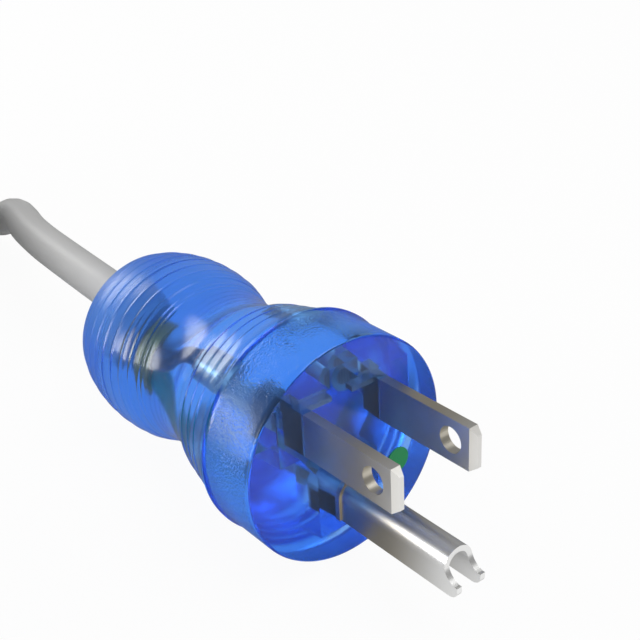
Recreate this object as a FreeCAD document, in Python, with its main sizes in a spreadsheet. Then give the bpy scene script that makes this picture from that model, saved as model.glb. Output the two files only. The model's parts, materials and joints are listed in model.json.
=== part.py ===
"""Grounded type B plug in a transparent moulded body, on a cord with an appliance connector."""

import FreeCAD, Part
import math
import os

import Sketcher
from FreeCAD import Placement, Rotation, Vector

# The plug is drawn with its axis along Y: the face is at y = 0, the blades point to -Y, the cord
# leaves at the rear, +X is to the right of someone who looks at the face, and the ground pin is below.
# Millimetres throughout.
SIZES = [
    # overmould, from the face to the rear
    ("face_radius", 16.1),
    ("face_edge", 0.3),
    ("face_edge_radius", 15.8),
    ("band_back", 8.7),
    ("lip_front", 9.6),
    ("lip_back", 10.3),
    ("lip_radius", 16.4),
    ("step_back", 10.9),
    ("step_radius", 15.75),
    ("taper_back", 19.2),
    ("taper_radius", 13.85),
    ("waist_at", 28.0),
    ("waist_radius", 11.9),
    ("knob_front", 34.6),
    ("knob_front_radius", 13.5),
    ("knob_at", 40.8),
    ("knob_radius", 14.0),
    ("shoulder_at", 49.0),
    ("shoulder_radius", 12.3),
    ("rear_turn_1_at", 50.7),
    ("rear_turn_1_radius", 11.35),
    ("rear_turn_2_at", 52.2),
    ("rear_turn_2_radius", 9.7),
    ("rear_at", 53.2),
    ("rear_radius", 7.4),
    # fine ridges round the taper and the knob
    ("ridge_rise", 0.25),
    ("ridge_half", 0.35),
    ("ridge_pitch", 2.2),
    ("taper_ridge_at", 13.9),
    ("knob_ridge_at", 35.8),
    # blades
    ("blade_spread", 6.35),
    ("blade_level", 5.4),
    ("blade_half_width", 3.1),
    ("blade_thickness", 1.45),
    ("blade_face", 0.725),
    ("blade_shoulder", 16.2),
    ("blade_length", 17.3),
    ("tip_half_width", 2.3),
    ("tip_face", 0.3),
    ("blade_hole_at", 13.0),
    ("blade_hole_radius", 1.85),
    # inside ends of the contacts and their crimps
    ("contact_back", 7.4),
    ("lock_front", 1.7),
    ("lock_length", 2.6),
    ("lock_end", 4.7),
    ("lock_low", 2.4),
    ("neck_width", 2.4),
    ("neck_back", 14.7),
    ("neck_inner", 0.3),
    ("neck_outer", 0.8),
    ("barrel_front", 13.6),
    ("barrel_length", 7.0),
    ("barrel_offset", 0.95),
    ("barrel_radius", 2.05),
    ("strand_radius", 1.2),
    ("strand_length", 7.8),
    # ground pin, a U-section that is open below
    ("pin_level", -6.3),
    ("pin_half", 2.375),
    ("pin_top", -3.925),
    ("pin_inner_half", 1.575),
    ("pin_inner_top", -4.725),
    ("pin_bottom", -9.5),
    ("pin_length", 22.3),
    ("pin_total", 31.7),
    ("pin_arch_front", 20.1),
    ("pin_notch_level", -5.9),
    ("pin_notch_mid_at", 20.6),
    ("pin_notch_mid_level", -6.9),
    ("pin_leg_top_at", 21.9),
    ("pin_leg_top", -7.7),
    ("pin_leg_low", -8.5),
    ("pin_heel_mid_at", 21.8),
    ("pin_heel_mid_level", -9.2),
    ("pin_heel_at", 20.9),
    ("pin_clear_at", 23.5),
    ("pin_clear_top", -3.0),
    ("pin_clear_low", -10.5),
    ("pin_collar_half", 2.65),
    ("pin_collar_top", -3.65),
    ("pin_collar_length", 0.8),
    ("ground_neck_front", 9.2),
    ("ground_neck_top", -4.1),
    ("ground_neck_low", -4.7),
    ("ground_neck_width", 2.0),
    ("ground_barrel_level", -5.9),
    ("ground_barrel_top", -5.3),
    # contact bridge, as seen through the face
    ("bridge_front", 0.6),
    ("bridge_depth", 8.2),
    ("bar_half", 10.8),
    ("bar_low", 1.9),
    ("bar_high", 10.1),
    ("stem_half", 5.1),
    ("stem_low", -11.6),
    ("gusset_at", 7.6),
    ("gusset_low", -1.8),
    ("tab_half", 2.3),
    ("tab_high", 12.9),
    # cord, conductors, clamp and the mark on the face
    ("cord_radius", 3.35),
    ("wire_radius", 1.0),
    ("clamp_front", 38.2),
    ("clamp_length", 5.0),
    ("clamp_level", -2.3),
    ("clamp_radius", 2.65),
    ("dot_radius", 1.9),
    ("dot_right", 8.5),
    ("dot_level", -5.25),
    ("dot_proud", 0.06),
    ("dot_thickness", 0.36),
    # put-away coil and its strap
    ("coil_right", -39.3),
    ("coil_back", 115.5),
    ("coil_inner", 24.87),
    ("coil_outer", 44.13),
    ("coil_height", 26.8),
    ("strap_inner", 24.07),
    ("strap_outer", 44.93),
    ("strap_top", 27.6),
    ("strap_thickness", 0.8),
    ("corner_inner", 26.8),
    ("corner_outer", 42.2),
    ("corner_low", 1.95),
    ("corner_high", 24.85),
    # appliance connector, its cord end at y = 0 and its face towards -Y
    ("connector_right", -68.6),
    ("connector_back", 51.0),
    ("grip_half", 13.5),
    ("grip_top", 9.5),
    ("grip_front", -40.0),
    ("grip_back", -18.0),
    ("grip_round", 3.0),
    ("collar_radius", 8.7),
    ("collar_turn_1", -3.2),
    ("collar_turn_2", -1.0),
    ("collar_turn_2_radius", 7.4),
    ("collar_end", 4.8),
    ("nose_half", 12.0),
    ("nose_top", 8.2),
    ("nose_corner_half", 7.0),
    ("nose_corner_top", 3.2),
    ("nose_front", -58.0),
    ("tongue_half", 10.5),
    ("tongue_top", 6.2),
    ("tongue_depth", 8.0),
    ("slot_half", 1.4),
    ("slot_top", 2.6),
    ("slot_depth", 17.0),
    ("slot_spread", 7.0),
    ("slot_low", -2.0),
    ("slot_high", 2.0),
    ("sleeve_front", -54.0),
    ("sleeve_depth", 13.0),
    ("sleeve_inner_half", 1.05),
    ("sleeve_inner_top", 2.25),
]

# How many ridges each stretch has, how the coil's strap lies and how the connector is turned.
TAPER_RIDGES = 3
KNOB_RIDGES = 6
STRAP_SPAN = 20.0
STRAP_TURN = 50.0
CONNECTOR_TURN = 3.0

# The conductors' routes in the plug's own frame, from their crimps to the end of the cord's jacket.
LINE_ROUTE = [(-5.4, 21.4, 5.4), (-5.4, 25.6, 5.4), (-1.06, 32.6, -1.69), (-1.06, 43.6, -1.69)]
NEUTRAL_ROUTE = [(5.4, 21.4, 5.4), (5.4, 25.6, 5.4), (1.06, 32.6, -1.69), (1.06, 43.6, -1.69)]
GROUND_ROUTE = [(0.0, 21.4, -5.9), (0.0, 25.0, -5.9), (0.0, 32.6, -3.52), (0.0, 43.6, -3.52)]

# The cord's route in the frame of the finished part, from inside the knob to the coil, and from the coil
# to the connector. It leaves nearly level, then sinks to the surface that everything lies on.
LEAD_ROUTE = [
    (0.0, 29.03, 12.65),
    (0.0, 39.6, 14.95),
    (0.1, 58.5, 14.55),
    (0.4, 76.5, 14.05),
    (0.9, 91.0, 11.9),
    (1.5, 103.0, 4.9),
]
TAIL_ROUTE = [
    (-80.0, 103.5, 24.2),
    (-79.4, 87.0, 21.2),
    (-72.0, 68.0, 11.6),
    (-68.6, 50.8, 9.5),
]

doc = FreeCAD.newDocument("type_b_plug")
sheet = doc.addObject("Spreadsheet::Sheet", "Sizes")
for row, (word, value) in enumerate(SIZES, start=1):
    sheet.set("A%d" % row, word)
    sheet.set("B%d" % row, str(value))
    sheet.setAlias("B%d" % row, word)
doc.recompute()


def size(word):
    """The value of a word of the sheet. A minus sign before the word turns it round, None is zero."""
    if word is None:
        return 0.0
    if word.startswith("-"):
        return -float(sheet.get(word[1:]))
    return float(sheet.get(word))


def opposite(word):
    return word[1:] if word.startswith("-") else "-" + word


def bind(obj, prop, word):
    """Ties a property to a word of the sheet, or to the same word turned round."""
    sign = "-" if word.startswith("-") else ""
    obj.setExpression(prop, sign + "Sizes." + word.lstrip("-"))


def new_body(name):
    body = doc.addObject("PartDesign::Body", name)
    body.Label = name
    return body


def new_sketch(body, name, role, away=None):
    """A sketch on one of the body's own planes, moved along the plane's normal by a word of the sheet."""
    sketch = body.newObject("Sketcher::SketchObject", body.Name + "_" + name)
    plane = [f for f in body.Origin.OriginFeatures if f.Role == role][0]
    sketch.AttachmentSupport = [(plane, "")]
    sketch.MapMode = "FlatFace"
    if away:
        bind(sketch, "AttachmentOffset.Base.z", away)
    return sketch


def cross_section(body, name, y_word=None):
    """A sketch across the plug at a distance behind its face, X to the right and Z up."""
    return new_sketch(body, name, "XZ_Plane", opposite(y_word) if y_word else None)


def fix(sketch, edge, end, words):
    """Holds one end of an edge at a place given by two words of the sheet."""
    for kind, rail, word in (("DistanceX", -2, words[0]), ("DistanceY", -1, words[1])):
        if word is None:
            sketch.addConstraint(Sketcher.Constraint("PointOnObject", edge, end, rail))
            continue
        held = sketch.addConstraint(Sketcher.Constraint(kind, -1, 1, edge, end, size(word)))
        bind(sketch, "Constraints[%d]" % held, word)


def outline(sketch, start, *moves):
    """Draws a closed outline. A move is ("to", x, y) or ("round", through x, through y, x, y)."""
    first = at = Vector(size(start[0]), size(start[1]), 0)
    edges = []
    for move in moves:
        end = Vector(size(move[-2]), size(move[-1]), 0)
        if move[0] == "to":
            edge = sketch.addGeometry(Part.LineSegment(at, end), False)
        else:
            middle = Vector(size(move[1]), size(move[2]), 0)
            edge = sketch.addGeometry(Part.Arc(at, middle, end), False)
            mark = sketch.addGeometry(Part.Point(middle), True)
            sketch.addConstraint(Sketcher.Constraint("PointOnObject", mark, 1, edge))
            fix(sketch, mark, 1, move[1:3])
        near = 1 if (sketch.getPoint(edge, 1) - at).Length < (sketch.getPoint(edge, 2) - at).Length else 2
        if edges:
            sketch.addConstraint(Sketcher.Constraint("Coincident", edges[-1][0], edges[-1][2], edge, near))
        edges.append((edge, near, 3 - near))
        if (end - first).Length > 1e-6:
            fix(sketch, edge, 3 - near, move[-2:])
        at = end
    sketch.addConstraint(
        Sketcher.Constraint("Coincident", edges[-1][0], edges[-1][2], edges[0][0], edges[0][1])
    )
    fix(sketch, edges[0][0], edges[0][1], start)


def rectangle(sketch, left, right, low, high):
    outline(sketch, (left, low), ("to", right, low), ("to", right, high), ("to", left, high), ("to", left, low))


def circle(sketch, across, up, radius):
    """Draws a circle whose centre and radius are words of the sheet."""
    centre = Vector(size(across), size(up), 0)
    edge = sketch.addGeometry(Part.Circle(centre, Vector(0, 0, 1), size(radius)), False)
    fix(sketch, edge, 3, (across, up))
    held = sketch.addConstraint(Sketcher.Constraint("Radius", edge, size(radius)))
    bind(sketch, "Constraints[%d]" % held, radius)


def pad(body, sketch, length, backwards=False, both=False):
    """Pads a sketch. On a cross-section of the plug, backwards is towards the cord."""
    feature = body.newObject("PartDesign::Pad", sketch.Name + "_pad")
    feature.Profile = sketch
    bind(feature, "Length", length)
    feature.Reversed = backwards
    if both:
        feature.SideType = "Symmetric"
    doc.recompute()


def pocket(body, sketch, length=None, backwards=False):
    """Cuts a sketch into the body, to a depth or, with no length, through everything both ways."""
    before = body.Shape.Volume
    feature = body.newObject("PartDesign::Pocket", sketch.Name + "_pocket")
    feature.Profile = sketch
    if length:
        bind(feature, "Length", length)
        feature.Reversed = not backwards
    else:
        feature.SideType = "Symmetric"
        feature.Type = "ThroughAll"
    doc.recompute()
    if not body.Shape.Volume < before - 1e-6:
        raise RuntimeError(feature.Name + " cuts nothing")


def revolve(body, sketch, angle=360.0):
    """Turns a sketch round its own vertical axis."""
    feature = body.newObject("PartDesign::Revolution", sketch.Name + "_turn")
    feature.Profile = sketch
    feature.ReferenceAxis = (sketch, ["V_Axis"])
    feature.Angle = angle
    doc.recompute()


def fillet(body, radius, wanted):
    """Rounds the edges of the body for which wanted(edge) is true, by a word of the sheet."""
    base = body.Tip
    edges = ["Edge%d" % n for n, edge in enumerate(base.Shape.Edges, start=1) if wanted(edge)]
    feature = body.newObject("PartDesign::Fillet", body.Name + "_" + radius)
    feature.Base = (base, edges)
    bind(feature, "Radius", radius)
    doc.recompute()


def runs_along_y(edge):
    return isinstance(edge.Curve, Part.Line) and abs(edge.Curve.Direction.y) > 0.999


def fused(name, pieces):
    join = doc.addObject("Part::MultiFuse", name)
    join.Shapes = pieces
    doc.recompute()
    return join


def cut(name, base, tool):
    piece = doc.addObject("Part::Cut", name)
    piece.Base = base
    piece.Tool = tool
    piece.Label = name
    doc.recompute()
    return piece


def rounded_path(points):
    """Straight runs joined by tangent arcs, each as large as its two runs allow, as one wire."""
    points = [Vector(*p) for p in points]
    edges = []
    radii = []
    at = points[0]
    for before, corner, after in zip(points, points[1:], points[2:]):
        run_in = corner - before
        run_out = after - corner
        reach = 0.45 * min(run_in.Length, run_out.Length)
        turn = run_in.getAngle(run_out)
        radius = reach / math.tan(turn / 2)
        start = corner - run_in.normalize() * reach
        end = corner + run_out.normalize() * reach
        inward = (start + end) * 0.5 - corner
        middle = corner + inward.normalize() * (radius / math.cos(turn / 2) - radius)
        edges.append(Part.LineSegment(at, start).toShape())
        edges.append(Part.Arc(start, middle, end).toShape())
        radii.append(radius)
        at = end
    edges.append(Part.LineSegment(at, points[-1]).toShape())
    return Part.Wire(edges), radii


def tube(name, points, radius):
    """A round cable along a route. Its volume is compared with its section times its length."""
    path, radii = rounded_path(points)
    heading = Vector(*points[1]) - Vector(*points[0])
    ring = Part.Wire(Part.Circle(Vector(*points[0]), heading, size(radius)).toShape())
    shape = path.makePipeShell([ring], True, False)
    expected = math.pi * size(radius) ** 2 * path.Length
    if abs(shape.Volume / expected - 1) > 0.01:
        raise RuntimeError("%s: volume %.1f, expected %.1f" % (name, shape.Volume, expected))
    print("%s: %.1f mm long, bend radii %s" % (name, path.Length, ", ".join("%.1f" % r for r in radii)))
    piece = doc.addObject("Part::Feature", name)
    piece.Label = name
    piece.Shape = shape
    return piece


# Overmould: one turned form with a smooth band, a lip, a taper, a waist and a knob. Fine round ridges lie
# on the taper and the knob, centred on the form's own outline.
overmould = new_body("overmould")
profile = new_sketch(overmould, "profile", "XY_Plane")
outline(
    profile,
    (None, None),
    ("to", "face_edge_radius", None),
    ("to", "face_radius", "face_edge"),
    ("to", "face_radius", "band_back"),
    ("to", "lip_radius", "lip_front"),
    ("to", "lip_radius", "lip_back"),
    ("to", "step_radius", "step_back"),
    ("to", "taper_radius", "taper_back"),
    ("round", "waist_radius", "waist_at", "knob_front_radius", "knob_front"),
    ("round", "knob_radius", "knob_at", "shoulder_radius", "shoulder_at"),
    ("to", "rear_turn_1_radius", "rear_turn_1_at"),
    ("to", "rear_turn_2_radius", "rear_turn_2_at"),
    ("to", "rear_radius", "rear_at"),
    ("to", None, "rear_at"),
    ("to", None, None),
)
revolve(overmould, profile)


def ridges(name, rail, first_at, count):
    """Ridges at an even pitch. Each is a diamond in section, with its middle on an edge of the outline."""
    sketch = new_sketch(overmould, name, "XY_Plane")
    edge = sketch.addGeometry(rail, True)
    sketch.addConstraint(Sketcher.Constraint("Block", edge))
    middles = []
    for number in range(count):
        at = size(first_at) + number * size("ridge_pitch")
        hits = rail.intersect(Part.Line(Vector(0, at, 0), Vector(1, at, 0)))
        middle = max((Vector(hit.X, hit.Y, 0) for hit in hits), key=lambda point: point.x)
        mark = sketch.addGeometry(Part.Point(middle), True)
        sketch.addConstraint(Sketcher.Constraint("PointOnObject", mark, 1, edge))
        held = sketch.addConstraint(Sketcher.Constraint("DistanceY", -1, 1, mark, 1, at))
        sketch.setExpression("Constraints[%d]" % held, "Sizes.%s + %d * Sizes.ridge_pitch" % (first_at, number))
        steps = [("ridge_rise", None), (None, "ridge_half"), ("-ridge_rise", None), (None, "-ridge_half")]
        corners = [middle + Vector(size(out), size(along), 0) for out, along in steps]
        sides = [
            sketch.addGeometry(Part.LineSegment(start, end), False)
            for start, end in zip(corners, corners[1:] + corners[:1])
        ]
        for side, after, step in zip(sides, sides[1:] + sides[:1], steps):
            sketch.addConstraint(Sketcher.Constraint("Coincident", side, 2, after, 1))
            for kind, level, word in (("DistanceX", "Vertical", step[0]), ("DistanceY", "Horizontal", step[1])):
                if word is None:
                    sketch.addConstraint(Sketcher.Constraint(level, mark, 1, side, 1))
                    continue
                held = sketch.addConstraint(Sketcher.Constraint(kind, mark, 1, side, 1, size(word)))
                bind(sketch, "Constraints[%d]" % held, word)
        middles.append(middle)
    revolve(overmould, sketch)
    return middles


taper_rail = Part.LineSegment(
    Vector(size("step_radius"), size("step_back"), 0), Vector(size("taper_radius"), size("taper_back"), 0)
)
knob_rail = Part.Arc(
    Vector(size("knob_front_radius"), size("knob_front"), 0),
    Vector(size("knob_radius"), size("knob_at"), 0),
    Vector(size("shoulder_radius"), size("shoulder_at"), 0),
)
ridges("taper_ridges", taper_rail, "taper_ridge_at", TAPER_RIDGES)
knob_ridges = ridges("knob_ridges", knob_rail, "knob_ridge_at", KNOB_RIDGES)


# How the plug lies: on its lip and on the ridge of the knob that meets the surface first, nose up.
def tilt_onto(ridge):
    """The angle at which the lip's rear edge and a ridge's crest are level with each other, in radians."""
    drop = size("lip_radius") - (ridge.x + size("ridge_rise"))
    return math.atan2(drop, ridge.y - size("lip_back"))


tilt = min(tilt_onto(ridge) for ridge in knob_ridges)
height = size("lip_back") * math.sin(tilt) + size("lip_radius") * math.cos(tilt)
tilted = Placement(Vector(0, 0, height), Rotation(Vector(1, 0, 0), -math.degrees(tilt)))


def lie(piece, x=None, y=None, z=None):
    """Puts a piece of the plug, drawn round its own axis, into the plug as it lies."""
    piece.Placement = rest.multiply(Placement(Vector(size(x), size(y), size(z)), Rotation()))


# Blades: brass plates with a round hole and a tip that is chamfered on all sides. Inside the body a tab
# of the plate's upper edge is bent inward to lock it, and a neck leads to the rolled crimp barrel.
def make_blade(name, inward):
    """One blade round its own axis. Inward is "" or "-", the side on which the plug's axis is."""

    def side(word):
        return opposite(word) if inward == "-" else word

    body = new_body(name)
    plate = new_sketch(body, "plate", "YZ_Plane")
    outline(
        plate,
        ("-blade_shoulder", "-blade_half_width"),
        ("to", "contact_back", "-blade_half_width"),
        ("to", "contact_back", "blade_half_width"),
        ("to", "-blade_shoulder", "blade_half_width"),
        ("to", "-blade_length", "tip_half_width"),
        ("to", "-blade_length", "-tip_half_width"),
        ("to", "-blade_shoulder", "-blade_half_width"),
    )
    pad(body, plate, "blade_thickness", both=True)
    lock = cross_section(body, "lock", "lock_front")
    outline(
        lock,
        (None, "lock_low"),
        ("to", side("lock_end"), "lock_low"),
        ("to", side("lock_end"), "blade_half_width"),
        ("to", None, "blade_half_width"),
        ("to", None, "lock_low"),
    )
    pad(body, lock, "lock_length", backwards=True)
    tip = new_sketch(body, "tip", "XY_Plane")
    for face, end in (("blade_face", "tip_face"), ("-blade_face", "-tip_face")):
        outline(
            tip,
            (face, "-blade_shoulder"),
            ("to", face, "-blade_length"),
            ("to", end, "-blade_length"),
            ("to", face, "-blade_shoulder"),
        )
    pocket(body, tip)
    hole = new_sketch(body, "hole", "YZ_Plane")
    circle(hole, "-blade_hole_at", None, "blade_hole_radius")
    pocket(body, hole)
    neck = new_sketch(body, "neck", "XY_Plane")
    outline(
        neck,
        (side("-blade_face"), "contact_back"),
        ("to", side("blade_face"), "contact_back"),
        ("to", side("-neck_inner"), "neck_back"),
        ("to", side("-neck_outer"), "neck_back"),
        ("to", side("-blade_face"), "contact_back"),
    )
    pad(body, neck, "neck_width", both=True)
    barrel = cross_section(body, "barrel", "barrel_front")
    circle(barrel, side("barrel_offset"), None, "barrel_radius")
    pad(body, barrel, "barrel_length", backwards=True)
    bore = cross_section(body, "bore", "barrel_front")
    circle(bore, side("barrel_offset"), None, "strand_radius")
    pocket(body, bore, "barrel_length", backwards=True)
    return body


line_blade = make_blade("line_blade", "")
neutral_blade = make_blade("neutral_blade", "-")


# Ground pin: one blank of sheet, folded over an arched top into a channel that is open below. The front
# is cut back to two short legs. A moulded collar's worth of metal stands proud at its root.
def channel(sketch, half, top):
    """The U-section of the pin, with the channel's inside as it is and the outside as given."""
    outline(
        sketch,
        (opposite(half), "pin_bottom"),
        ("to", opposite(half), "pin_level"),
        ("round", None, top, half, "pin_level"),
        ("to", half, "pin_bottom"),
        ("to", "pin_inner_half", "pin_bottom"),
        ("to", "pin_inner_half", "pin_level"),
        ("round", None, "pin_inner_top", "-pin_inner_half", "pin_level"),
        ("to", "-pin_inner_half", "pin_bottom"),
        ("to", opposite(half), "pin_bottom"),
    )


ground_pin = new_body("ground_pin")
section = cross_section(ground_pin, "section", "-pin_length")
channel(section, "pin_half", "pin_top")
pad(ground_pin, section, "pin_total", backwards=True)
front = new_sketch(ground_pin, "front", "YZ_Plane")
outline(
    front,
    ("-pin_arch_front", "pin_clear_top"),
    ("to", "-pin_arch_front", "pin_notch_level"),
    ("round", "-pin_notch_mid_at", "pin_notch_mid_level", "-pin_leg_top_at", "pin_leg_top"),
    ("to", "-pin_length", "pin_leg_top"),
    ("to", "-pin_length", "pin_leg_low"),
    ("round", "-pin_heel_mid_at", "pin_heel_mid_level", "-pin_heel_at", "pin_bottom"),
    ("to", "-pin_heel_at", "pin_clear_low"),
    ("to", "-pin_clear_at", "pin_clear_low"),
    ("to", "-pin_clear_at", "pin_clear_top"),
    ("to", "-pin_arch_front", "pin_clear_top"),
)
pocket(ground_pin, front)
collar = cross_section(ground_pin, "collar")
channel(collar, "pin_collar_half", "pin_collar_top")
pad(ground_pin, collar, "pin_collar_length")
ground_neck = new_sketch(ground_pin, "neck", "YZ_Plane")
outline(
    ground_neck,
    ("ground_neck_front", "ground_neck_low"),
    ("to", "neck_back", "ground_barrel_top"),
    ("to", "neck_back", "ground_neck_top"),
    ("to", "ground_neck_front", "ground_neck_top"),
    ("to", "ground_neck_front", "ground_neck_low"),
)
pad(ground_pin, ground_neck, "ground_neck_width", both=True)
ground_barrel = cross_section(ground_pin, "barrel", "barrel_front")
circle(ground_barrel, None, "ground_barrel_level", "barrel_radius")
pad(ground_pin, ground_barrel, "barrel_length", backwards=True)
ground_bore = cross_section(ground_pin, "bore", "barrel_front")
circle(ground_bore, None, "ground_barrel_level", "strand_radius")
pocket(ground_pin, ground_bore, "barrel_length", backwards=True)

# The finished part's origin is below the middle of the plug's own box, so the pieces that set the box,
# the pin and the overmould, are measured as they lie.
outermost = [piece.Shape.copy() for piece in (overmould, ground_pin)]
for shape in outermost:
    shape.Placement = tilted
box = Part.makeCompound(outermost).optimalBoundingBox(False)
middle_y = (box.YMin + box.YMax) / 2
rest = Placement(Vector(0, -middle_y, 0), Rotation()).multiply(tilted)
print("tilt %.3f degrees, face centre at y %.3f, z %.3f" % (math.degrees(tilt), rest.Base.y, rest.Base.z))

lie(overmould)
lie(ground_pin)
lie(line_blade, "-blade_spread", None, "blade_level")
lie(neutral_blade, "blade_spread", None, "blade_level")


# Conductors: the stripped copper strands fill the barrels, and the coloured insulation starts behind
# them and runs into the cord's jacket.
def make_strands(name, x, z):
    strands = doc.addObject("Part::Cylinder", name)
    strands.Label = name
    bind(strands, "Radius", "strand_radius")
    bind(strands, "Height", "strand_length")
    along_y = Placement(Vector(x, size("barrel_front"), z), Rotation(Vector(1, 0, 0), -90))
    strands.Placement = rest.multiply(along_y)
    return strands


barrel_x = size("blade_spread") - size("barrel_offset")
strands = [
    make_strands("line_strands", -barrel_x, size("blade_level")),
    make_strands("neutral_strands", barrel_x, size("blade_level")),
    make_strands("ground_strands", 0.0, size("ground_barrel_level")),
]
wires = [
    tube("line_wire", LINE_ROUTE, "wire_radius"),
    tube("neutral_wire", NEUTRAL_ROUTE, "wire_radius"),
    tube("ground_wire", GROUND_ROUTE, "wire_radius"),
]
for wire in wires:
    lie(wire)

# Contact bridge: a clear moulded insert that holds the blades and the pin in line while the body is
# moulded over them. A bar across the blades, a tab above it and a stem down to the pin, with gussets.
bridge_blank = new_body("bridge_blank")
plan = cross_section(bridge_blank, "plan", "bridge_front")
outline(
    plan,
    ("-stem_half", "stem_low"),
    ("to", "stem_half", "stem_low"),
    ("to", "stem_half", "gusset_low"),
    ("to", "gusset_at", "bar_low"),
    ("to", "bar_half", "bar_low"),
    ("to", "bar_half", "bar_high"),
    ("to", "tab_half", "bar_high"),
    ("to", "tab_half", "tab_high"),
    ("to", "-tab_half", "tab_high"),
    ("to", "-tab_half", "bar_high"),
    ("to", "-bar_half", "bar_high"),
    ("to", "-bar_half", "bar_low"),
    ("to", "-gusset_at", "bar_low"),
    ("to", "-stem_half", "gusset_low"),
    ("to", "-stem_half", "stem_low"),
)
pad(bridge_blank, plan, "bridge_depth", backwards=True)
lie(bridge_blank)
contacts = fused("contacts", [line_blade, neutral_blade, ground_pin])
contact_bridge = cut("contact_bridge", bridge_blank, contacts)

# Cord clamp: a brass band pressed tight round the three conductors, in front of the jacket's end.
clamp_blank = new_body("clamp_blank")
band = cross_section(clamp_blank, "band", "clamp_front")
circle(band, None, "clamp_level", "clamp_radius")
pad(clamp_blank, band, "clamp_length", backwards=True)
lie(clamp_blank)

# Mark: a thin green disc let into the face.
green_dot = new_body("green_dot")
disc = cross_section(green_dot, "disc", "-dot_proud")
circle(disc, None, None, "dot_radius")
pad(green_dot, disc, "dot_thickness", backwards=True)
lie(green_dot, "dot_right", None, "dot_level")

# Cord: the jacket from inside the knob to the coil, and from the coil to the connector.
cord_lead = tube("cord_lead", LEAD_ROUTE, "cord_radius")
cord_tail = tube("cord_tail", TAIL_ROUTE, "cord_radius")
cord_clamp = cut("cord_clamp", clamp_blank, fused("conductors", wires))
insets = fused("insets", [contacts, bridge_blank, clamp_blank, green_dot, cord_lead] + strands + wires)
plug_body = cut("plug_body", overmould, insets)


# Coil: the outer shape of the put-away turns, a ring with its corners taken off. Its strap goes round the
# section once. Both are drawn round their own upright axis.
def make_ring(name, words, angle, turn):
    """A ring or a piece of one. The words are its inner and outer radius, low and high, and where the
    corners start: inner and outer radius, low and high."""
    inner, outer, low, high, inner_start, outer_start, low_start, high_start = words
    body = new_body(name)
    section = new_sketch(body, "section", "XZ_Plane")
    outline(
        section,
        (inner_start, low),
        ("to", outer_start, low),
        ("to", outer, low_start),
        ("to", outer, high_start),
        ("to", outer_start, high),
        ("to", inner_start, high),
        ("to", inner, high_start),
        ("to", inner, low_start),
        ("to", inner_start, low),
    )
    revolve(body, section, angle)
    place = Vector(size("coil_right"), size("coil_back"), size("strap_thickness"))
    body.Placement = Placement(place, Rotation(Vector(0, 0, 1), turn))
    return body


corners = ["corner_inner", "corner_outer", "corner_low", "corner_high"]
coil_blank = make_ring("coil_blank", ["coil_inner", "coil_outer", None, "coil_height"] + corners, 360.0, 0.0)
strap_blank = make_ring(
    "strap_blank",
    ["strap_inner", "strap_outer", "-strap_thickness", "strap_top"] + corners,
    STRAP_SPAN,
    STRAP_TURN,
)
coil_tie = cut("coil_tie", strap_blank, coil_blank)
cord_coil = cut("cord_coil", coil_blank, fused("cord_ends", [cord_lead, cord_tail]))

# Connector: the front block has three slots and two cut corners, and a tongue that the grip holds. The
# grip is moulded over it and ends in a round collar with a rounded shoulder, where the cord goes in.
connector = Placement(
    Vector(size("connector_right"), size("connector_back"), size("grip_top")),
    Rotation(Vector(0, 0, 1), CONNECTOR_TURN),
)
insert_blank = new_body("insert_blank")
nose = cross_section(insert_blank, "nose", "nose_front")
outline(
    nose,
    ("-nose_half", "-nose_top"),
    ("to", "nose_half", "-nose_top"),
    ("to", "nose_half", "nose_corner_top"),
    ("to", "nose_corner_half", "nose_top"),
    ("to", "-nose_corner_half", "nose_top"),
    ("to", "-nose_half", "nose_corner_top"),
    ("to", "-nose_half", "-nose_top"),
)
nose_length = insert_blank.newObject("PartDesign::Pad", "nose_pad")
nose_length.Profile = nose
nose_length.setExpression("Length", "Sizes.grip_front - Sizes.nose_front")
nose_length.Reversed = True
doc.recompute()
tongue = cross_section(insert_blank, "tongue", "grip_front")
rectangle(tongue, "-tongue_half", "tongue_half", "-tongue_top", "tongue_top")
pad(insert_blank, tongue, "tongue_depth", backwards=True)
slots = {
    "line": ("-slot_spread", "slot_low"),
    "neutral": ("slot_spread", "slot_low"),
    "ground": (None, "slot_high"),
}


def place_in_slot(piece, centre):
    piece.Placement = connector.multiply(Placement(Vector(size(centre[0]), 0, size(centre[1])), Rotation()))


def make_sleeve(name, centre):
    """A spring contact, folded from sheet to a rectangular sleeve, which lies on its slot's walls."""
    body = new_body(name)
    wall = cross_section(body, "wall", "sleeve_front")
    rectangle(wall, "-slot_half", "slot_half", "-slot_top", "slot_top")
    rectangle(wall, "-sleeve_inner_half", "sleeve_inner_half", "-sleeve_inner_top", "sleeve_inner_top")
    pad(body, wall, "sleeve_depth", backwards=True)
    place_in_slot(body, centre)
    return body


def make_slot(name, centre):
    """The space of one slot, which is cut out of the front block."""
    body = new_body(name)
    mouth = cross_section(body, "mouth", "nose_front")
    rectangle(mouth, "-slot_half", "slot_half", "-slot_top", "slot_top")
    pad(body, mouth, "slot_depth", backwards=True)
    place_in_slot(body, centre)
    return body


insert_blank.Placement = connector
slot_spaces = [make_slot(name + "_slot", centre) for name, centre in slots.items()]
sleeves = [make_sleeve("connector_%s_contact" % name, centre) for name, centre in slots.items()]
connector_insert = cut("connector_insert", insert_blank, fused("slots", slot_spaces))

grip = new_body("connector_grip")
grip_section = cross_section(grip, "section", "grip_front")
rectangle(grip_section, "-grip_half", "grip_half", "-grip_top", "grip_top")
grip_length = grip.newObject("PartDesign::Pad", "grip_pad")
grip_length.Profile = grip_section
grip_length.setExpression("Length", "Sizes.grip_back - Sizes.grip_front")
grip_length.Reversed = True
doc.recompute()
fillet(grip, "grip_round", runs_along_y)

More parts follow.
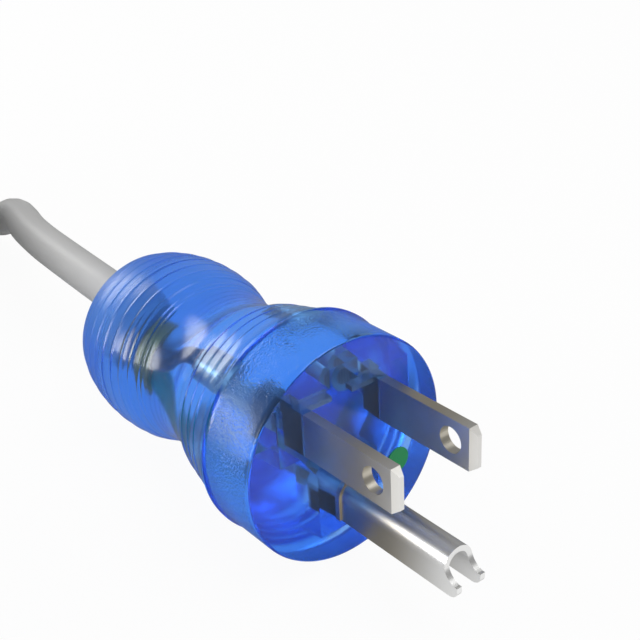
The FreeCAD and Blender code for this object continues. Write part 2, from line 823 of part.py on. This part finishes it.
collar_profile = new_sketch(grip, "collar", "XY_Plane")
outline(
    collar_profile,
    (None, "grip_back"),
    ("to", "collar_radius", "grip_back"),
    ("to", "collar_radius", "collar_turn_1"),
    ("to", "collar_turn_2_radius", "collar_turn_2"),
    ("to", "collar_end", None),
    ("to", None, None),
    ("to", None, "grip_back"),
)
revolve(grip, collar_profile)
grip.Placement = connector
connector_body = cut("connector_body", grip, fused("grip_insets", [insert_blank, cord_tail]))

# Every piece is checked before anything is written.
pieces = [
    plug_body,
    contact_bridge,
    line_blade,
    neutral_blade,
    ground_pin,
    cord_clamp,
    green_dot,
    cord_lead,
    cord_coil,
    coil_tie,
    cord_tail,
    connector_body,
    connector_insert,
]
pieces += strands + wires + sleeves
doc.recompute()
for made in doc.Objects:
    if "Invalid" in made.State or "Error" in made.State:
        raise RuntimeError("%s failed: %s" % (made.Name, made.State))
for piece in pieces:
    if piece.Shape.isNull() or not piece.Shape.isValid() or piece.Shape.Volume <= 0:
        raise RuntimeError(piece.Label + " is not a sound solid")
os.makedirs("parts", exist_ok=True)
for piece in pieces:
    piece.Shape.exportStep("parts/%s.step" % piece.Label)
    print("%-26s %9.1f mm3, %d solid" % (piece.Label, piece.Shape.Volume, len(piece.Shape.Solids)))
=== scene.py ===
import bmesh
import bpy
import json
import math
from mathutils import Matrix, Vector


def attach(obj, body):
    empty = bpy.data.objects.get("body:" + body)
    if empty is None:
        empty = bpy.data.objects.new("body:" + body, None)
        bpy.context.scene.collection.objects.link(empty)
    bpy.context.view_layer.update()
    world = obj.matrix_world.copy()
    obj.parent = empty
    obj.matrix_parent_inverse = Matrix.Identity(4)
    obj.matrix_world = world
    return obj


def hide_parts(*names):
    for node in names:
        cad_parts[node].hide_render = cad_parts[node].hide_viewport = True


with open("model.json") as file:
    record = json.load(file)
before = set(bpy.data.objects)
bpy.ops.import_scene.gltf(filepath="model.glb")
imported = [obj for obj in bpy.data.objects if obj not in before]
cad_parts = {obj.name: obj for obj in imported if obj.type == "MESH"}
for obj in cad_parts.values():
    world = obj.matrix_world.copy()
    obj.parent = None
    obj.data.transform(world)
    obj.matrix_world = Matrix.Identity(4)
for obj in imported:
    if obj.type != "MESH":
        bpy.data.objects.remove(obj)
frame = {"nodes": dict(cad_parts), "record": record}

scene = bpy.context.scene
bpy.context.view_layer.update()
MM = 0.001

# Camera: it looks down on the plug from in front and from its left, with a long lens.
# Its place, direction and lens are those of the photograph, in the frame of the plug at rest.
CAMERA_AT = Vector((-79.169, -107.470, 107.298)) * MM
CAMERA_LOOK = Vector((0.543588, 0.672736, -0.501935))
CAMERA_ROLL = math.radians(-0.172)
CAMERA_LENS = 64.81
SENSOR_WIDTH = 36.0
camera_data = bpy.data.cameras.new("camera")
camera_data.sensor_width = SENSOR_WIDTH
camera_data.lens = CAMERA_LENS
camera_data.clip_start = 0.01
camera = bpy.data.objects.new("camera", camera_data)
level = CAMERA_LOOK.to_track_quat("-Z", "Y").to_matrix().to_4x4()
camera.matrix_world = Matrix.Translation(CAMERA_AT) @ level @ Matrix.Rotation(CAMERA_ROLL, 4, "Z")
scene.collection.objects.link(camera)
scene.camera = camera
scene.view_settings.view_transform = "Standard"


# Cord: a round light grey vinyl jacket over three conductors, 6.7 mm thick and six feet long.
# It leaves the knob nearly level, sinks to the table, is put away in a neat coil and goes on to its
# connector. The two routes are listed points, and the coil's turns lie between them.
class Wire:
    """An output of a node. Sums, differences and products of it add Math nodes."""

    def __init__(self, finish, node, name=0):
        self.finish = finish
        self.node = node
        self.socket = node.outputs[name]

    def __getitem__(self, name):
        return Wire(self.finish, self.node, name)

    def maths(self, operation, first, second):
        return self.finish.node("ShaderNodeMath", {"operation": operation}, {0: first, 1: second})

    def __add__(self, other):
        return self.maths("ADD", self, other)

    def __radd__(self, other):
        return self.maths("ADD", other, self)

    def __sub__(self, other):
        return self.maths("SUBTRACT", self, other)

    def __rsub__(self, other):
        return self.maths("SUBTRACT", other, self)

    def __mul__(self, other):
        return self.maths("MULTIPLY", self, other)

    def __rmul__(self, other):
        return self.maths("MULTIPLY", other, self)

    def __pow__(self, other):
        return self.maths("POWER", self, other)


class Finish:
    """The shader of a material, a lamp or the world, built node by node."""

    def __init__(self, owner):
        self.owner = owner
        owner.use_nodes = True
        self.tree = owner.node_tree
        self.tree.nodes.clear()

    def node(self, kind, settings, sockets):
        """Makes a node: its settings first, then the values or links of its sockets."""
        made = self.tree.nodes.new(kind)
        for name, value in settings.items():
            setattr(made, name, value)
        for name, value in sockets.items():
            if isinstance(value, Wire):
                self.tree.links.new(value.socket, made.inputs[name])
            else:
                made.inputs[name].default_value = value
        return Wire(self, made) if made.outputs else made

    def place(self):
        return self.node("ShaderNodeTexCoord", {}, {})["Object"]

    def stretched(self, scale):
        """The place, scaled by its own amount along each axis."""
        sockets = {"Vector": self.place(), "Scale": scale}
        return self.node("ShaderNodeMapping", {}, sockets)

    def noise(self, scale, detail=2.0, vector=None):
        """Smooth noise from 0 to 1, with a scale in blobs per metre."""
        sockets = {"Vector": vector or self.place(), "Scale": scale, "Detail": detail}
        return self.node("ShaderNodeTexNoise", {}, sockets)["Fac"]

    def step(self, value, low, high):
        """0 below low, 1 above high, and smooth between."""
        sockets = {"Value": value, "From Min": low, "From Max": high}
        return self.node("ShaderNodeMapRange", {"interpolation_type": "SMOOTHSTEP"}, sockets)

    def mix(self, share, first, second):
        """A colour between two colours."""
        return self.node("ShaderNodeMix", {"data_type": "RGBA"}, {0: share, 6: first, 7: second})[2]

    def bump(self, height, distance):
        return self.node("ShaderNodeBump", {}, {"Height": height, "Distance": distance})["Normal"]

    def principled(self, sockets):
        return self.node("ShaderNodeBsdfPrincipled", {}, sockets)

    def finished(self, shader, volume=None):
        kinds = {bpy.types.World: "World", bpy.types.AreaLight: "Light"}
        kind = kinds.get(type(self.owner), "Material")
        sockets = {"Surface": shader}
        if volume:
            sockets["Volume"] = volume
        self.node("ShaderNodeOutput" + kind, {}, sockets)
        return self.owner


def new_finish(name):
    return Finish(bpy.data.materials.new(name))


CORD_DIAMETER = 6.7 * MM
LEAD_ROUTE = [
    (0.0, 0.02903, 0.01265),
    (0.0, 0.0396, 0.01495),
    (0.0001, 0.0585, 0.01455),
    (0.0006, 0.0765, 0.01395),
    (0.0052, 0.0925, 0.0115),
    (0.0046, 0.1030, 0.0049),
]
TAIL_ROUTE = [
    (-0.0800, 0.1035, 0.0242),
    (-0.0794, 0.0870, 0.0212),
    (-0.0720, 0.0680, 0.0116),
    (-0.0686, 0.0508, 0.0095),
]
COIL_CENTRE = Vector((-0.0393, 0.1155, 0.0))
INNER_TURN = 28.22 * MM
OUTER_TURN = 40.78 * MM
LOWEST_TURN = 4.15 * MM
COIL_LAYERS = 4
COIL_TURNS = 7.5
POINTS_PER_TURN = 12
CLIMB_TURNS = 0.25


def coil_points():
    """Turns that wind in and out again, layer on layer, a diameter apart. The line climbs to the next
    layer over the last quarter turn of each."""
    points = []
    layer_turns = COIL_TURNS / COIL_LAYERS
    outwards = 1.0 / math.cos(math.pi / POINTS_PER_TURN)
    for number in range(1, round(COIL_TURNS * POINTS_PER_TURN)):
        turns = number / POINTS_PER_TURN
        layer = int(turns / layer_turns)
        share = turns / layer_turns - layer
        inward = share if layer % 2 == 0 else 1.0 - share
        radius = (OUTER_TURN + (INNER_TURN - OUTER_TURN) * inward) * outwards
        climb = min(max((share - 1.0) * layer_turns / CLIMB_TURNS + 1.0, 0.0), 1.0)
        level = min(layer + climb * climb * (3.0 - 2.0 * climb), COIL_LAYERS - 1)
        angle = 2.0 * math.pi * turns
        spoke = Vector((radius * math.cos(angle), radius * math.sin(angle), 0.0))
        lift = Vector((0.0, 0.0, LOWEST_TURN + level * CORD_DIAMETER))
        points.append(tuple(COIL_CENTRE + spoke + lift))
    return points


def lay_cable(name, points, diameter):
    """A round cable along one smooth line."""
    curve = bpy.data.curves.new(name, "CURVE")
    curve.dimensions = "3D"
    curve.bevel_depth = diameter / 2.0
    curve.bevel_resolution = 6
    curve.resolution_u = 10
    curve.use_fill_caps = True
    spline = curve.splines.new("NURBS")
    spline.points.add(len(points) - 1)
    for control, place in zip(spline.points, points):
        control.co = (*place, 1.0)
    spline.order_u = 3
    spline.use_endpoint_u = True
    cable = bpy.data.objects.new(name, curve)
    scene.collection.objects.link(cable)
    return cable


def vinyl(name, colour, roughness):
    """Soft opaque vinyl: even colour with faint mottling, and a fine moulded skin."""
    finish = new_finish(name)
    mottle = finish.noise(160.0, 3.0)
    shade = tuple(channel * 0.9 for channel in colour)
    sockets = {
        "Base Color": finish.mix(mottle, (*shade, 1.0), (*colour, 1.0)),
        "Roughness": roughness + (mottle - 0.5) * 0.15,
        "Normal": finish.bump(finish.noise(7000.0), 0.012 * MM),
    }
    return finish.finished(finish.principled(sockets))


cord = lay_cable("cord", LEAD_ROUTE + coil_points() + TAIL_ROUTE, CORD_DIAMETER)
cord.data.materials.append(vinyl("grey_jacket", (0.55, 0.55, 0.545), 0.45))
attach(cord, "root")
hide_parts("cord_lead", "cord_coil", "cord_tail")

# Overmould: clear blue vinyl, turned in one form round the contacts and the end of the cord.
# A smooth face, a band with a fine orange-peel skin, a lip, a taper with three ridges, a waist and a
# round knob with ridges for the fingers. Millimetres from the face to the rear, and radii.
BAND_RADIUS = 16.1
WAIST_START = 19.2
REAR_ROUND = 51.55
OUTLINE = [
    ("line", (0.0, 15.75), (0.1, 16.0)),
    ("line", (0.1, 16.0), (0.35, 16.1)),
    ("line", (0.35, BAND_RADIUS), (8.7, BAND_RADIUS)),
    ("line", (8.7, BAND_RADIUS), (9.6, 16.3)),
    ("line", (9.6, 16.3), (9.75, 16.42)),
    ("line", (9.75, 16.42), (9.95, 16.32)),
    ("line", (9.95, 16.32), (10.15, 16.4)),
    ("line", (10.15, 16.4), (10.35, 16.3)),
    ("line", (10.35, 16.3), (10.9, 15.75)),
    ("line", (10.9, 15.75), (WAIST_START, 13.85)),
    ("arc", (WAIST_START, 13.85), (28.0, 11.9), (34.6, 13.5)),
    ("arc", (34.6, 13.5), (40.8, 14.0), (49.0, 12.3)),
    ("arc", (49.0, 12.3), (REAR_ROUND, 10.35), (53.2, 7.4)),
]
RIDGES = [13.9, 16.1, 18.3, 31.3, 32.1, 33.7, 35.5, 37.7, 40.0, 42.3, 44.5, 46.7]
RIDGE_RISE = 0.085
RIDGE_HALF = 0.42
RIDGE_STEPS = 5
CURVED_STEP = 0.5
REAR_STEP = 0.25
ROUND_STEPS = 144

outlet = [mount for mount in frame["record"]["mounts"] if mount["name"] == "wall_outlet"][0]
lean = math.atan2(outlet["axis"][2], -outlet["axis"][1])
PLUG_FRAME = Matrix.Translation(Vector(outlet["pos_m"])) @ Matrix.Rotation(-lean, 4, "X")


def arc_centre(start, through, end):
    """Centre of the circle through three points."""
    (ax, ay), (bx, by), (cx, cy) = start, through, end
    twice = 2.0 * (ax * (by - cy) + bx * (cy - ay) + cx * (ay - by))
    sums = [ax * ax + ay * ay, bx * bx + by * by, cx * cx + cy * cy]
    x = (sums[0] * (by - cy) + sums[1] * (cy - ay) + sums[2] * (ay - by)) / twice
    y = (sums[0] * (cx - bx) + sums[1] * (ax - cx) + sums[2] * (bx - ax)) / twice
    return x, y


def radius_at(at):
    """The outline's radius at a distance behind the face, ridges apart."""
    for kind, start, *others in OUTLINE:
        end = others[-1]
        if start[0] <= at <= end[0]:
            if kind == "line":
                share = (at - start[0]) / (end[0] - start[0])
                return start[1] + (end[1] - start[1]) * share
            centre = arc_centre(start, *others)
            reach = math.hypot(start[0] - centre[0], start[1] - centre[1])
            side = 1.0 if centre[1] < start[1] else -1.0
            return centre[1] + side * math.sqrt(max(reach**2 - (at - centre[0]) ** 2, 0.0))
    raise ValueError("the outline ends before %s" % at)


def outline_points():
    """Distances and radii along the outline, close together at the ridges and the rounded rear."""
    stations = {start[0] for kind, start, *others in OUTLINE} | {OUTLINE[-1][-1][0]}
    stations |= {WAIST_START + CURVED_STEP * number for number in range(60)}
    stations |= {REAR_ROUND + REAR_STEP * number for number in range(7)}
    for ridge in RIDGES:
        across = range(2 * RIDGE_STEPS + 1)
        stations |= {ridge + RIDGE_HALF * (number / RIDGE_STEPS - 1.0) for number in across}
    points = []
    for at in sorted(round(station, 4) for station in stations):
        radius = radius_at(at)
        for ridge in RIDGES:
            off = (at - ridge) / RIDGE_HALF
            if abs(off) < 1.0:
                radius += RIDGE_RISE * math.cos(off * math.pi / 2.0) ** 2
        points.append((at, radius))
    return points


def turned(name, points, steps):
    """A closed form turned round the plug's axis. The points are distances behind the face and radii, in
    millimetres."""
    made = bmesh.new()
    rings = []
    for at, radius in points:
        angles = [2.0 * math.pi * number / steps for number in range(steps)]
        ring = [
            made.verts.new((radius * MM * math.cos(a), at * MM, radius * MM * math.sin(a))) for a in angles
        ]
        rings.append(ring)
    for front, back in zip(rings, rings[1:]):
        for number in range(steps):
            after = (number + 1) % steps
            made.faces.new((front[number], front[after], back[after], back[number]))
    made.faces.new(rings[0])
    made.faces.new(rings[-1])
    bmesh.ops.recalc_face_normals(made, faces=made.faces)
    made.transform(PLUG_FRAME)
    mesh = bpy.data.meshes.new(name)
    made.to_mesh(mesh)
    made.free()
    mesh.shade_smooth()
    mesh.set_sharp_from_angle(angle=math.radians(50.0))
    piece = bpy.data.objects.new(name, mesh)
    scene.collection.objects.link(piece)
    return piece


def blue_vinyl():
    """Clear blue vinyl, a little milky all through. The band has an orange-peel skin and the knob is
    frosted. The face, the taper and the waist are glossy."""
    finish = new_finish("blue_vinyl")
    plug_place = {
        "Vector": finish.place(),
        "Location": PLUG_FRAME.translation,
        "Rotation": (-lean, 0.0, 0.0),
    }
    place = finish.node("ShaderNodeMapping", {"vector_type": "TEXTURE"}, plug_place)
    spot = finish.node("ShaderNodeSeparateXYZ", {}, {0: place})
    behind = spot["Y"]
    on_band = finish.step(behind, 0.4 * MM, 1.2 * MM) * (1.0 - finish.step(behind, 8.5 * MM, 9.5 * MM))
    on_knob = finish.step(behind, 36.0 * MM, 43.0 * MM)
    peel = finish.noise(2800.0, 2.0) * on_band
    waves = finish.noise(420.0, 1.0)
    skin = peel * 0.14 * MM + waves * 0.02 * MM
    clear = finish.principled(
        {
            "Base Color": (0.46, 0.67, 1.0, 1.0),
            "Roughness": 0.14 + on_knob * 0.16,
            "IOR": 1.5,
            "Transmission Weight": 1.0,
            "Normal": finish.bump(skin, 1.0),
        }
    )
    milky = finish.principled(
        {
            "Base Color": (0.06, 0.30, 1.0, 1.0),
            "Roughness": 0.35,
            "IOR": 1.5,
            "Normal": finish.bump(skin, 1.0),
        }
    )
    share = 0.11 + on_band * 0.09 + on_knob * 0.28
    mixed = finish.node("ShaderNodeMixShader", {}, {0: share, 1: clear, 2: milky})
    tint = {"Color": (0.05, 0.60, 1.0, 1.0), "Density": 66.0}
    return finish.finished(mixed, finish.node("ShaderNodeVolumeAbsorption", {}, tint))


overmould = turned("overmould", outline_points(), ROUND_STEPS)
overmould.data.materials.append(blue_vinyl())
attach(overmould, "root")
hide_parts("plug_body")

# Contacts: two flat blades and a U-shaped ground pin, stamped from brass strip, folded and nickel plated.
# Their edges are broken by the tumbling, and each ends inside in a barrel that is crimped on its wires.
EDGE_BREAK = 0.12 * MM
BROKEN_ANGLE = math.radians(35.0)


def dress(node_name, material, edge=None):
    """Gives a solid's own node its finish and, where it has sharp stamped edges, breaks them."""
    node = frame["nodes"][node_name]
    node.data.materials.clear()
    node.data.materials.append(material)
    if edge:
        bevel = node.modifiers.new("broken_edges", "BEVEL")
        bevel.width = edge
        bevel.segments = 2
        bevel.limit_method = "ANGLE"
        bevel.angle_limit = BROKEN_ANGLE
        bevel.harden_normals = True
    return node


def nickel():
    """Nickel plate with fine rolling lines along the strip and a slightly uneven gloss. Its colour is pale
    at the tips and grows darker and warmer from there to the face: painted shade and painted dark
    reflection."""
    finish = new_finish("nickel_plate")
    lines = finish.noise(1500.0, 3.0, finish.stretched((1.0, 0.06, 1.0)))
    pitting = finish.noise(3600.0, 2.0)
    cloud = finish.noise(240.0, 2.0)
    spot = finish.node("ShaderNodeSeparateXYZ", {}, {0: finish.place()})
    # Painted shade and painted dark reflection: the plate's colour darkens and warms from the tips to the
    # face.
    tarnish_and_painted_shade = finish.step(spot["Y"], -0.036, -0.024) * (0.7 + cloud * 0.3)
    bright = finish.mix(cloud, (0.82, 0.82, 0.81, 1.0), (0.93, 0.93, 0.92, 1.0))
    sockets = {
        "Base Color": finish.mix(tarnish_and_painted_shade, bright, (0.49, 0.44, 0.34, 1.0)),
        "Metallic": 1.0,
        "Roughness": 0.35 + (cloud - 0.5) * 0.16,
        "Normal": finish.bump(lines * 0.006 * MM + pitting * 0.005 * MM, 1.0),
    }
    return finish.finished(finish.principled(sockets))


nickel_plate = nickel()
for contact in ("line_blade", "neutral_blade", "ground_pin"):
    dress(contact, nickel_plate, EDGE_BREAK)


# Contact bridge: a clear moulded insert that holds the three contacts in line. The blue vinyl closes
# round it and has nearly the same refraction, so that only its edges show.
def grey(level):
    return (level, level, level, 1.0)


def clear_insert():
    finish = new_finish("clear_insert")
    sockets = {
        "Base Color": grey(1.0),
        "Roughness": 0.04 + finish.noise(500.0) * 0.05,
        "IOR": 1.05,
        "Transmission Weight": 1.0,
    }
    return finish.finished(finish.principled(sockets))


dress("contact_bridge", clear_insert(), 0.15 * MM)

# Green mark: a small disc of opaque green, let into the face beside the ground pin.
dress("green_dot", vinyl("green_mark", (0.02, 0.36, 0.12), 0.3))

# Conductors: soft vinyl insulation in black, white and green over twisted copper, which is bare in the
# barrels. They curve from the barrels through the waist into the end of the cord's jacket.
WIRE_DIAMETER = 2.0 * MM
CONDUCTORS = {
    "line_wire": (
        "black_insulation",
        (0.012, 0.012, 0.016),
        [(-5.4, 21.4, 5.4), (-5.4, 25.6, 5.4), (-1.06, 32.6, -1.69), (-1.06, 43.6, -1.69)],
    ),
    "neutral_wire": (
        "white_insulation",
        (0.75, 0.76, 0.78),
        [(5.4, 21.4, 5.4), (5.4, 25.6, 5.4), (1.06, 32.6, -1.69), (1.06, 43.6, -1.69)],
    ),
    "ground_wire": (
        "green_insulation",
        (0.01, 0.45, 0.22),
        [(0.0, 21.4, -5.9), (0.0, 25.0, -5.9), (0.0, 32.6, -3.52), (0.0, 43.6, -3.52)],
    ),
}
for node_name, (slot, colour, route) in CONDUCTORS.items():
    points = [PLUG_FRAME @ (Vector(point) * MM) for point in route]
    wire = lay_cable(node_name + "_insulation", points, WIRE_DIAMETER)
    wire.data.materials.append(vinyl(slot, colour, 0.35))
    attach(wire, "root")
    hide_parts(node_name)


def copper():
    """Twisted strands: round ridges that wind about the bundle."""
    finish = new_finish("bare_copper")
    place = finish.node("ShaderNodeMapping", {}, {"Vector": finish.place(), "Rotation": (0.0, 0.0, 0.6)})
    twist = finish.node("ShaderNodeTexWave", {}, {"Vector": place, "Scale": 900.0})["Fac"]
    sockets = {
        "Base Color": finish.mix(twist, (0.45, 0.19, 0.09, 1.0), (0.80, 0.42, 0.25, 1.0)),
        "Metallic": 1.0,
        "Roughness": 0.3 + twist * 0.1,
        "Normal": finish.bump(twist, 0.1 * MM),
    }
    return finish.finished(finish.principled(sockets))


bare_copper = copper()
for strands in ("line_strands", "neutral_strands", "ground_strands"):
    dress(strands, bare_copper)


# Cord clamp: a brass band, pressed tight round the three conductors in front of the jacket's end, so that
# a pull on the cord stays off the crimps. It is strongly coloured, as the blue vinyl over it dulls it.
def clamp_brass():
    finish = new_finish("clamp_brass")
    tarnish_and_painted_shade = finish.noise(500.0, 3.0)
    sockets = {
        "Base Color": finish.mix(tarnish_and_painted_shade, (0.90, 0.30, 0.02, 1.0), (1.0, 0.42, 0.05, 1.0)),
        "Metallic": 1.0,
        "Roughness": 0.28 + tarnish_and_painted_shade * 0.2,
        "Normal": finish.bump(finish.noise(2600.0), 0.02 * MM),
    }
    return finish.finished(finish.principled(sockets))


dress("cord_clamp", clamp_brass(), 0.1 * MM)


# Coil tie: a black strap, woven, with its hooks on one side, closed once round the turns.
def black_strap():
    finish = new_finish("black_strap")
    weave = {"Vector": finish.stretched((1.0, 0.6, 0.2)), "Scale": 260.0}
    across = finish.node("ShaderNodeTexWave", {}, weave)["Fac"]
    fuzz = finish.noise(3000.0, 4.0)
    sockets = {
        "Base Color": finish.mix(across, (0.012, 0.012, 0.013, 1.0), (0.035, 0.035, 0.038, 1.0)),
        "Roughness": 0.75 + fuzz * 0.2,
        "Normal": finish.bump(across * 0.15 * MM + fuzz * 0.1 * MM, 1.0),
    }
    return finish.finished(finish.principled(sockets))


dress("coil_tie", black_strap())

# Connector: light grey vinyl grip over a harder block with three slots, and a plated spring sleeve in each.
dress("connector_body", vinyl("grey_moulding", (0.60, 0.60, 0.61), 0.42), 0.3 * MM)
dress("connector_insert", vinyl("grey_block", (0.63, 0.63, 0.64), 0.35), 0.3 * MM)
for sleeve in ("connector_line_contact", "connector_neutral_contact", "connector_ground_contact"):
    dress(sleeve, nickel_plate)

# Table and light: a pale seamless sweep, two soft boxes low behind the plug and a weaker one above. What is
# clear or bright shows the sweep as white, and the sweep keeps a soft shadow. To mirrored rays the sweep
# shows a painted dark reflection under the plug, a dark grey that fades out below the contacts' tips.
reach = 4.0
FLOOR_SHADE = 0.82
# Grey of the painted dark reflection on the sweep.
PAINTED_REFLECTION_SHADE = 0.22
WHITE_TO_CAMERA = 0.95
WHITE_THROUGH_GLASS = 0.9
WHITE_IN_MIRRORS = 0.95
DAYLIGHT = 0.5
MIRRORED_LOSS = 0.2
sheet = bpy.data.meshes.new("table")
corners = [(-reach, -reach, 0.0), (reach, -reach, 0.0), (reach, reach, 0.0), (-reach, reach, 0.0)]
sheet.from_pydata(corners, [], [(0, 1, 2, 3)])
table = bpy.data.objects.new("table", sheet)
scene.collection.objects.link(table)

sweep = new_finish("sweep")
ray = sweep.node("ShaderNodeLightPath", {}, {})
lit = sweep.node("ShaderNodeBsdfDiffuse", {}, {"Color": grey(FLOOR_SHADE)})
spot = sweep.node("ShaderNodeSeparateXYZ", {}, {0: sweep.place()})
forward = spot["X"] * -0.5 - spot["Y"]
# Painted dark reflection: to mirrored rays the sweep is dark grey under and behind the plug, fading out
# below the contacts' tips.
painted_reflection_area = 1.0 - sweep.step(forward, 20.0 * MM, 44.0 * MM)
mirrored = ray["Is Glossy Ray"] * (1.0 - ray["Is Transmission Ray"])
painted_dark_reflection = sweep.mix(mirrored * painted_reflection_area, grey(1.0), grey(PAINTED_REFLECTION_SHADE))
glow = sweep.node("ShaderNodeEmission", {}, {"Color": painted_dark_reflection})
share = ray["Is Camera Ray"] * WHITE_TO_CAMERA + ray["Is Transmission Ray"] * WHITE_THROUGH_GLASS
share = share + mirrored * WHITE_IN_MIRRORS
surface = sweep.node("ShaderNodeMixShader", {}, {0: share, 1: lit, 2: glow})
table.data.materials.append(sweep.finished(surface))

backdrop = Finish(bpy.data.worlds.new("backdrop"))
ray = backdrop.node("ShaderNodeLightPath", {}, {})
seen = ray["Is Camera Ray"] + ray["Is Transmission Ray"]
mirrored = ray["Is Glossy Ray"] * (1.0 - ray["Is Transmission Ray"])
brightness = DAYLIGHT + seen * (1.0 - DAYLIGHT) - mirrored * MIRRORED_LOSS
sky = backdrop.node("ShaderNodeBackground", {}, {"Color": grey(1.0), "Strength": brightness})
scene.world = backdrop.finished(sky)

EVEN_PART = 0.02
WHOLE_BOX = 0.25


def soft_box(name, azimuth, elevation, distance, width, height, radiance):
    """A lamp that faces the plug and fades towards its rim. Azimuth is from +X towards +Y, in degrees."""
    lamp = bpy.data.lights.new(name, "AREA")
    lamp.shape = "RECTANGLE"
    lamp.size = width
    lamp.size_y = height
    lamp.energy = radiance * math.pi * width * height
    glow = Finish(lamp)
    across = glow.node("ShaderNodeNewGeometry", {}, {})["Parametric"]
    spot = glow.node("ShaderNodeSeparateXYZ", {}, {0: across})
    off = (spot["X"] - 0.5) ** 2.0 + (spot["Y"] - 0.5) ** 2.0
    faded = 1.0 - glow.step(off, EVEN_PART, WHOLE_BOX)
    glow.finished(glow.node("ShaderNodeEmission", {}, {"Color": grey(1.0), "Strength": faded}))
    turn = math.radians(azimuth)
    rise = math.radians(elevation)
    along = math.cos(rise)
    towards = Vector((math.cos(turn) * along, math.sin(turn) * along, math.sin(rise)))
    facing = towards.to_track_quat("Z", "Y").to_matrix().to_4x4()
    box = bpy.data.objects.new(name, lamp)
    box.matrix_world = Matrix.Translation(towards * distance) @ facing
    scene.collection.objects.link(box)


soft_box("left_box", 150.0, 3.0, 0.5, 0.3, 0.6, 8.5)
soft_box("strip_box", 97.0, 11.0, 0.5, 0.26, 0.8, 4.0)
soft_box("top_box", -60.0, 70.0, 0.7, 0.7, 0.7, 2.4)
